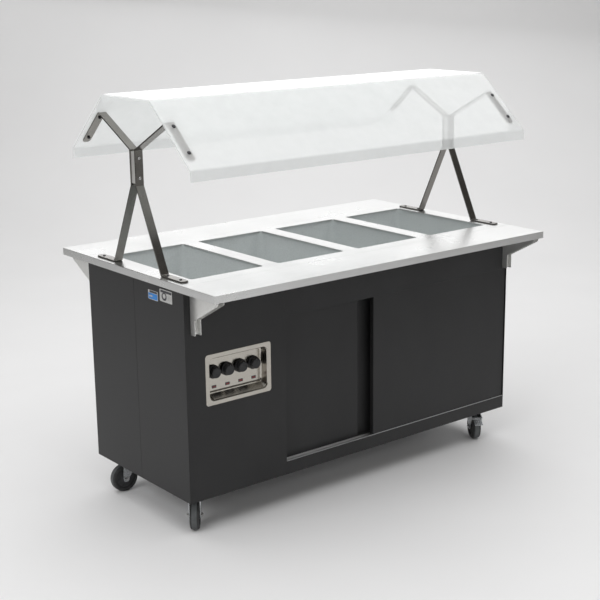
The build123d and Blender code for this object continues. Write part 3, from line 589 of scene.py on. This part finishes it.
for number in range(1, 5):
    low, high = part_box(f"knob_{number}")
    radius, skirt_y = (high.x - low.x) / 2, dial_y - KNOB_STAND
    knob_x, knob_z = centre_of(low, high)
    axis = spot((knob_x, skirt_y, knob_z), FRONT)
    grip, reach = radius - GRIP_LESS, skirt_y - low.y
    loops = [ring(axis, radius + more * MM, level * MM, KNOB_SIDES) for more, level in SKIRT]
    loops += [ring(axis, fluted(grip + more * MM), level * MM, KNOB_SIDES) for more, level in GRIP_FOOT]
    loops.append(ring(axis, fluted(grip + GRIP_HEAD[0] * MM), reach + GRIP_HEAD[1] * MM, KNOB_SIDES))
    loops += [ring(axis, grip + more * MM, reach + level * MM, KNOB_SIDES) for more, level in CROWN]
    bm = bmesh.new()
    loft(bm, loops)
    rod(bm, axis, STEM_R, start=0.5 * MM, end=-18 * MM, sides=24)
    pointer = axis @ Matrix.Translation((0, radius - 2.4 * MM, 0))
    slab(bm, pointer, POINTER, MARK_CORNER, (3 * MM, 4.75 * MM), paint=1, steps=3)
    dot = axis @ Matrix.Translation((0, grip - 4.2 * MM, reach))
    slab(bm, dot, TOP_DOT, MARK_CORNER, (-0.3 * MM, 0), paint=1, steps=3)
    piece(f"knob_{number}_form", bm, [KNOB, MARK], f"knob_{number}", [f"knob_{number}"])

# Lamps: each is a dark frame round two red bars, on a body behind the panel --------------------
LAMP_RIM = ((0, 1.2, 0), (0, 1.2, 0.9), (-1, 0.9, 1.3), (-3, 0.8, 1.3))
LAMP_WIDTH = 18 * MM
LAMP_BODY = (15.8 * MM, 7.8 * MM)
BODY_DEPTH = 14 * MM
LENS_SHIFT = 3.6 * MM
LENS_SIZE = (6.4 * MM, 6.2 * MM)
LENS_ROWS = ((0, 0.9, 1.25), (-1.2, 0.9, 1.5))
low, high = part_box("indicator_lamps")
lamp = (LAMP_WIDTH, high.z - low.z)
pitch = (high.x - low.x - LAMP_WIDTH) / 3
bm = bmesh.new()
for step in range(4):
    place = spot((low.x + LAMP_WIDTH / 2 + pitch * step, dial_y, centre_of(low, high)[1]), FRONT)
    loft(bm, stepped(place, lamp, LAMP_RIM, 3), paint=1)
    for side in SIDES:
        slot = place @ Matrix.Translation((side * LENS_SHIFT, 0, 0))
        loft(bm, stepped(slot, LENS_SIZE, LENS_ROWS, 3))
    slab(bm, place, LAMP_BODY, 0.6 * MM, (-BODY_DEPTH, 0), paint=1, steps=3)
piece("indicator_lamps_form", bm, [LENS, TERMINAL], "cabinet", ["indicator_lamps"])

softened("thermostats", CASE, "cabinet", width=1.2, shortest=8)
softened("terminal_block", TERMINAL, "cabinet", width=0.8)

# Cord gland: flange, nut, ribbed body and bore ------------------------------------------------
GLAND_FLANGE_R = 17 * MM
GLAND_BORE_R = 6 * MM
NUT_FLATS = 29 * MM
NUT_CORNER_R = 13 * MM
NUT_LEVELS = (6 * MM, 13 * MM)
RIB_START = 14 * MM
RIB_PITCH = 1.5 * MM
GLAND_SIDES = 72
low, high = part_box("power_gland")
gland_x, gland_z = centre_of(low, high)
axis = spot((gland_x, low.y, gland_z), BACK)
long = high.y - low.y
flats = hexagon(NUT_FLATS)
profile = [(GLAND_FLANGE_R, 0), (GLAND_FLANGE_R, 4.4 * MM), (15.6 * MM, 6 * MM)]
profile += [(lambda turn: min(flats(turn), NUT_CORNER_R), level) for level in NUT_LEVELS]
profile.append((12 * MM, RIB_START))
for step in range(4):
    rib = RIB_START + step * RIB_PITCH
    profile += [(11.5 * MM, rib), (10.4 * MM, rib + 0.8 * MM)]
profile += [(9.5 * MM, long - 0.3 * MM), (8 * MM, long), (GLAND_BORE_R, long - 0.6 * MM)]
profile += [(GLAND_BORE_R, 0), (GLAND_FLANGE_R, 0)]
bm = bmesh.new()
lathe(bm, axis, profile, GLAND_SIDES, (False, False))
weld(bm)
piece("power_gland_form", bm, [TERMINAL], "cabinet", ["power_gland"])

# Blank rating plates: colour blocks only ------------------------------------------------------
# Each plate has a centre in Y and Z, a size, and blocks. Each block has a centre, a size, a paint, a corner
# radius and a top. All but the paint are in millimetres.
SILVER_PAINT, BLUE_PAINT, PALE_PAINT, INK_PAINT = range(4)
PRINT_FOOT = 0.5 * MM
BLUE_PLATE = ((-122, 816), (60, 32), (
    ((0, -4), (55, 20), BLUE_PAINT, 1, 0.75),
    ((-13, -4), (20, 5), PALE_PAINT, 1, 0.8),
    ((3, 11), (46, 7), INK_PAINT, 1, 0.75),
))
SILVER_PLATE = ((-201, 827), (74, 42), (
    ((2, 14), (66, 8), INK_PAINT, 1, 0.75),
    ((-10, -3), (30, 26), INK_PAINT, 13, 0.75),
    ((-10, -1), (17, 16), SILVER_PAINT, 8, 0.8),
    ((20, -4), (22, 18), PALE_PAINT, 3, 0.75),
))
PLATE_ROWS = ((0, 3, 0), (0, 3, 0.4), (-0.8, 2.8, 0.6))
panel_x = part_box("rating_plates")[1].x
bm = bmesh.new()
plates = []
for (y, z), (wide, tall), blocks in (BLUE_PLATE, SILVER_PLATE):
    place = spot((panel_x, y * MM, z * MM), LEFT)
    loft(bm, stepped(place, (wide * MM, tall * MM), PLATE_ROWS, 3))
    plates.append((place, blocks))
for place, blocks in plates:
    for centre, (wide, tall), paint, corner, top in blocks:
        moved = place @ Matrix.Translation((centre[0] * MM, centre[1] * MM, 0))
        slab(bm, moved, (wide * MM, tall * MM), corner * MM, (PRINT_FOOT, top * MM), paint)
piece("rating_plates_form", bm, [FOIL, BLUE, PALE, INK], "cabinet", ["rating_plates"])

# Guard and its supports ----------------------------------------------------------------------
for end in ("left", "right"):
    for side in ("front", "back"):
        softened(f"{end}_{side}_support", STRIP, "cabinet", width=0.6, shortest=6)
guard_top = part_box("guard_sheet")[1].z
softened("guard_sheet", ACRYLIC, "cabinet", width=0.4, shortest=20)

# Screws and bolts ----------------------------------------------------------------------------
BARS = [side * 730 * MM for side in SIDES]
BAR_SHEET = 5 * MM
BAR_FACE = 12.7 * MM
SHANK_R = 3 * MM
SMALL_NUT = 9.4 * MM
NUT_DEPTH = 4.5 * MM
FOOT_ROWS = (-244, -168, 168, 244)
bm = bmesh.new()
for x in BARS:
    for row in FOOT_ROWS:
        y = row * MM
        screw(bm, spot((x, y, top_z + BAR_SHEET), UP, BACK), radius=5 * MM, height=2.5 * MM)
        rod(bm, spot((x, y, top_z - 7 * MM), UP, BACK), SHANK_R, start=0, end=12 * MM)
        bolt_head(bm, spot((x, y, top_z - 1.5 * MM), DOWN, BACK), across=SMALL_NUT, height=5 * MM)
piece("foot_screws_form", bm, [DARK_SCREW], "cabinet", ["foot_screws"])

# The guard slopes down from its top fold to its outer fold, at these Y and Z in millimetres
TOP_FOLD, OUTER_FOLD = (148, 1462), (371, 1259)
FOLD_RUN, FOLD_RISE = OUTER_FOLD[0] - TOP_FOLD[0], OUTER_FOLD[1] - TOP_FOLD[1]
SLOPE = Vector((0, FOLD_RUN, FOLD_RISE)).normalized()
GUARD_ROWS = (235, 318)
bm = bmesh.new()
for x in BARS:
    for side in SIDES:
        normal = Vector((0, side * -SLOPE.z, SLOPE.y))
        for y in GUARD_ROWS:
            z = guard_top + (y - TOP_FOLD[0]) * MM * FOLD_RISE / FOLD_RUN
            seat = Vector((x, side * y * MM, z))
            screw(bm, spot(seat, normal, RIGHT), radius=7 * MM, height=3 * MM)
            rod(bm, spot(seat, -normal, RIGHT), SHANK_R, start=0, end=17 * MM)
            bolt_head(bm, spot(seat - normal * 11 * MM, -normal, RIGHT), across=SMALL_NUT, height=NUT_DEPTH)
piece("guard_screws_form", bm, [DARK_SCREW], "cabinet", ["guard_screws"])

JOIN_HEIGHTS = (1192, 1259)
JOIN_Y = BAR_FACE + BAR_SHEET
bm = bmesh.new()
for x in BARS:
    for height in JOIN_HEIGHTS:
        z = height * MM
        screw(bm, spot((x, -JOIN_Y, z), FRONT), radius=5.5 * MM, height=3.5 * MM)
        bolt_head(bm, spot((x, JOIN_Y, z), BACK), across=SMALL_NUT, height=NUT_DEPTH)
        rod(bm, spot((x, -JOIN_Y, z), BACK), SHANK_R, start=0, end=2 * JOIN_Y)
piece("support_bolts_form", bm, [SCREW], "cabinet", ["support_bolts"])

CABINET_FACE = 304.8
BRACKET_SHEET = 2
BRACKET_ENDS = (-725.5, 749.5)
BRACKET_ROWS = (725, 800)
bm = bmesh.new()
for side in SIDES:
    for x in BRACKET_ENDS:
        for z in BRACKET_ROWS:
            seat = (x * MM, side * (CABINET_FACE + BRACKET_SHEET) * MM, z * MM)
            screw(bm, spot(seat, (0, side, 0)), radius=5 * MM, height=3 * MM)
            rod(bm, spot(seat, (0, -side, 0)), SHANK_R, start=0, end=3.5 * MM)
piece("bracket_screws_form", bm, [SCREW], "cabinet", ["bracket_screws"])

# Casters -------------------------------------------------------------------------------------
# X and Y of the swivel in millimetres, the way the wheel trails in degrees, and whether there is a brake
CASTERS = {
    "front_left": (-682, -213, 231.5, False),
    "back_left": (-682, 213, 178.0, False),
    "front_right": (682, -213, 240.0, True),
    "back_right": (682, 213, 205.0, True),
}
TRAIL = 30 * MM
LEG_OUTER = 21 * MM
AXLE_R = 5 * MM
PLATE_Z = 125 * MM
PLATE_HOLES = (37.5, 27.5)

softened("caster_plates", ZINC, "cabinet", width=0.6, shortest=8)
bm = bmesh.new()
for x, y, _, _ in CASTERS.values():
    for across in SIDES:
        for along in SIDES:
            at = ((x + across * PLATE_HOLES[0]) * MM, (y + along * PLATE_HOLES[1]) * MM)
            bolt_head(bm, spot((*at, PLATE_Z), DOWN, BACK), across=12 * MM, height=4 * MM)
            bolt_head(bm, spot((*at, PLATE_Z + 4.5 * MM), UP, BACK), across=12 * MM, height=6 * MM)
            rod(bm, spot((*at, PLATE_Z), UP, BACK), 4 * MM, start=0, end=15 * MM)
piece("caster_bolts_form", bm, [SCREW], "cabinet", ["caster_bolts"])

# Half of a wheel's section. Radii are in metres, and heights are shares of half the tyre's width.
WHEEL_R = 51 * MM
TYRE_HALF = 16 * MM
HUB_HALF = 17.5 * MM
AXLE_HOLE_R = 5.1 * MM
SHOULDER_R = WHEEL_R - 0.15 * MM
WEB = 0.69
TYRE_PAINT, TREAD_PAINT, HUB_PAINT = range(3)
TREAD_ROWS = ((SHOULDER_R, -0.55), (WHEEL_R, -0.4), (WHEEL_R, 0.4), (SHOULDER_R, 0.55))
TYRE_ROWS = (
    (SHOULDER_R, 0.55), (WHEEL_R - 1.6 * MM, 0.8), (WHEEL_R - 4.4 * MM, 0.96), (WHEEL_R - 7.5 * MM, 1),
    (37.5 * MM, 1), (36.3 * MM, 0.97), (35.6 * MM, 0.9),
)
DISC_ROWS = (
    (35.6 * MM, 0.9), (35 * MM, 0.72), (33.5 * MM, WEB), (19 * MM, WEB), (16.5 * MM, 0.74), (14.4 * MM, 0.86),
    (14 * MM, HUB_HALF / TYRE_HALF), (AXLE_HOLE_R, HUB_HALF / TYRE_HALF),
)
RIBS = 6
RIB_R = 25 * MM


def wheel_form(wheel):
    """A tyre with its worn tread, and a ribbed hub, as bands that meet."""
    bm = bmesh.new()

    def band(rows, side, paint):
        profile = [(radius, side * TYRE_HALF * share) for radius, share in rows]
        lathe(bm, wheel, profile, WHEEL_SIDES, (False, False), paint)

    band(TREAD_ROWS, 1, TREAD_PAINT)
    for side in SIDES:
        band(TYRE_ROWS, side, TYRE_PAINT)
        band(DISC_ROWS, side, HUB_PAINT)
        for step in range(RIBS):
            spun = wheel @ Matrix.Rotation(TURN * step / RIBS, 4, "Z")
            rib = spun @ Matrix.Translation((RIB_R, 0, side * TYRE_HALF * WEB))
            if side < 0:
                rib = rib @ Matrix.Rotation(pi, 4, "X")
            foot = rounded(rib, (15 * MM, 3 * MM), 1 * MM, -0.5 * MM, steps=2)
            crest = rounded(rib, (13.6 * MM, 1.8 * MM), 0.8 * MM, 1.5 * MM, steps=2)
            loft(bm, [foot, crest], paint=HUB_PAINT)
    bore = ((AXLE_HOLE_R, -HUB_HALF), (AXLE_HOLE_R, HUB_HALF))
    lathe(bm, wheel, bore, WHEEL_SIDES, (False, False), HUB_PAINT)
    weld(bm)
    return bm


for name, (x, y, heading, braked) in CASTERS.items():
    trailing = Vector((cos(radians(heading)), sin(radians(heading)), 0))
    across = Vector((trailing.y, -trailing.x, 0))
    hub = Vector((x * MM, y * MM, WHEEL_R)) + trailing * TRAIL
    softened(f"{name}_fork", ZINC, f"{name}_fork", width=0.6, shortest=8)
    if braked:
        softened(f"{name}_brake_pedal", ZINC, f"{name}_brake_pedal", width=0.8, shortest=8)

    bm = bmesh.new()
    for side in SIDES:
        bolt_head(bm, spot(hub + across * side * LEG_OUTER, across * side), across=13.6 * MM, height=5 * MM)
        tip = spot(hub + across * side * (LEG_OUTER + 4 * MM), across * side)
        lathe(bm, tip, ((4.4 * MM, 0), (4.4 * MM, 2.4 * MM), (3.6 * MM, 4 * MM)), 24)
    rod(bm, spot(hub - across * LEG_OUTER, across), AXLE_R, start=0, end=2 * LEG_OUTER, sides=32)
    piece(f"{name}_axle_form", bm, [SCREW], f"{name}_fork", [f"{name}_axle"])

    wheel = wheel_form(spot(hub, across))
    piece(f"{name}_wheel_form", wheel, [TYRE, TREAD, HUB], f"{name}_wheel", [f"{name}_wheel"])

# Studio --------------------------------------------------------------------------------------
YAW = radians(38.5)
SWEEP_START, SWEEP_BEND, SWEEP_R, SWEEP_TOP = -7.0, 3.4, 3.2, 7.0
SWEEP_STEPS = 24
SWEEP_REACH = (-6.5, -3.2, 0, 3.2, 6.5)


def studio_sheet():
    """A pale sweep: floor, a wide curve and a back wall, square to the camera's heading."""
    ahead = Vector((sin(YAW), cos(YAW), 0))
    right = Vector((cos(YAW), -sin(YAW), 0))
    profile = [(SWEEP_START, 0.0), (SWEEP_START / 2, 0.0), (0.0, 0.0)]
    for step in range(SWEEP_STEPS + 1):
        turn = QUARTER * step / SWEEP_STEPS
        profile.append((SWEEP_BEND + SWEEP_R * sin(turn), SWEEP_R * (1 - cos(turn))))
    profile.append((SWEEP_BEND + SWEEP_R, SWEEP_TOP))
    bm = bmesh.new()
    rows = []
    for distance, height in profile:
        base = ahead * distance + Vector((0, 0, height))
        rows.append([bm.verts.new(base + right * reach) for reach in SWEEP_REACH])
    for near, far in zip(rows, rows[1:]):
        for step in range(len(SWEEP_REACH) - 1):
            bm.faces.new((near[step], near[step + 1], far[step + 1], far[step]))
    mesh = bpy.data.meshes.new("studio_sweep")
    bm.to_mesh(mesh)
    bm.free()
    mesh.shade_smooth()
    sweep = bpy.data.objects.new("studio_sweep", mesh)
    bpy.context.scene.collection.objects.link(sweep)
    paper = Finish("sweep_paper", (0.80, 0.80, 0.805), 0, 0.75)
    tone = paper.noise(1.3, detail=3)
    paper.colour(paper.mixed(paper.spread(tone, 0, 1), (0.79, 0.79, 0.795), (0.81, 0.81, 0.815)))
    paper.bump(paper.noise(420, detail=3), 0.05 * MM, 0.3)
    mesh.materials.append(paper.material)


studio_sheet()


def softbox(name, centre, target, size, power):
    """A rectangular soft white light that looks at a target."""
    lamp = bpy.data.lights.new(name, "AREA")
    lamp.shape = "RECTANGLE"
    lamp.size, lamp.size_y = size
    lamp.energy = power
    made = bpy.data.objects.new(name, lamp)
    bpy.context.scene.collection.objects.link(made)
    made.location = centre
    made.rotation_euler = (Vector(target) - Vector(centre)).to_track_quat("-Z", "Y").to_euler()
    return made


softbox("overhead_softbox", (0.3, 0.1, 4.3), (0.3, 0.1, 0), (7.4, 6.6), 232)
softbox("back_softbox", (3.8, 4.1, 2.95), (0, 0, 0.9), (7.6, 2.5), 54)
# The fills light the wall, the floor and the wells, and no polished face mirrors them
for fill in (
    softbox("wall_light", (1.2, 2.7, 6.2), (3.0, 7.2, 2.4), (5.0, 2.0), 56),
    softbox("front_fill", (0.6, -5.2, 2.6), (0.2, -1.6, 0), (4.0, 2.0), 60),
    softbox("left_fill", (-5.0, -0.9, 3.6), (-0.6, 0, 0.4), (4.0, 2.4), 112),
):
    fill.visible_glossy = False

WARM_GREY = (0.125, 0.12, 0.113, 1)
world = bpy.data.worlds.new("studio_air")
world.use_nodes = True
world.node_tree.nodes["Background"].inputs["Color"].default_value = WARM_GREY
bpy.context.scene.world = world
bpy.context.scene.view_settings.view_transform = "Standard"

# Camera --------------------------------------------------------------------------------------
PITCH = radians(14.44)
ROLL = radians(0.688)
EYE = (-2.936, -3.639, 1.851)
FOCAL_LENGTH = 76.47
SENSOR_WIDTH = 36
forward = Vector((cos(PITCH) * sin(YAW), cos(PITCH) * cos(YAW), -sin(PITCH)))
level = Vector((cos(YAW), -sin(YAW), 0))
down = forward.cross(level)
right = cos(ROLL) * level + sin(ROLL) * down
under = -sin(ROLL) * level + cos(ROLL) * down
optics = bpy.data.cameras.new("studio_camera")
optics.lens = FOCAL_LENGTH
optics.sensor_width = SENSOR_WIDTH
camera = bpy.data.objects.new("studio_camera", optics)
bpy.context.scene.collection.objects.link(camera)
camera.matrix_world = Matrix.Translation(EYE) @ Matrix((right, -under, -forward)).transposed().to_4x4()
bpy.context.scene.camera = camera
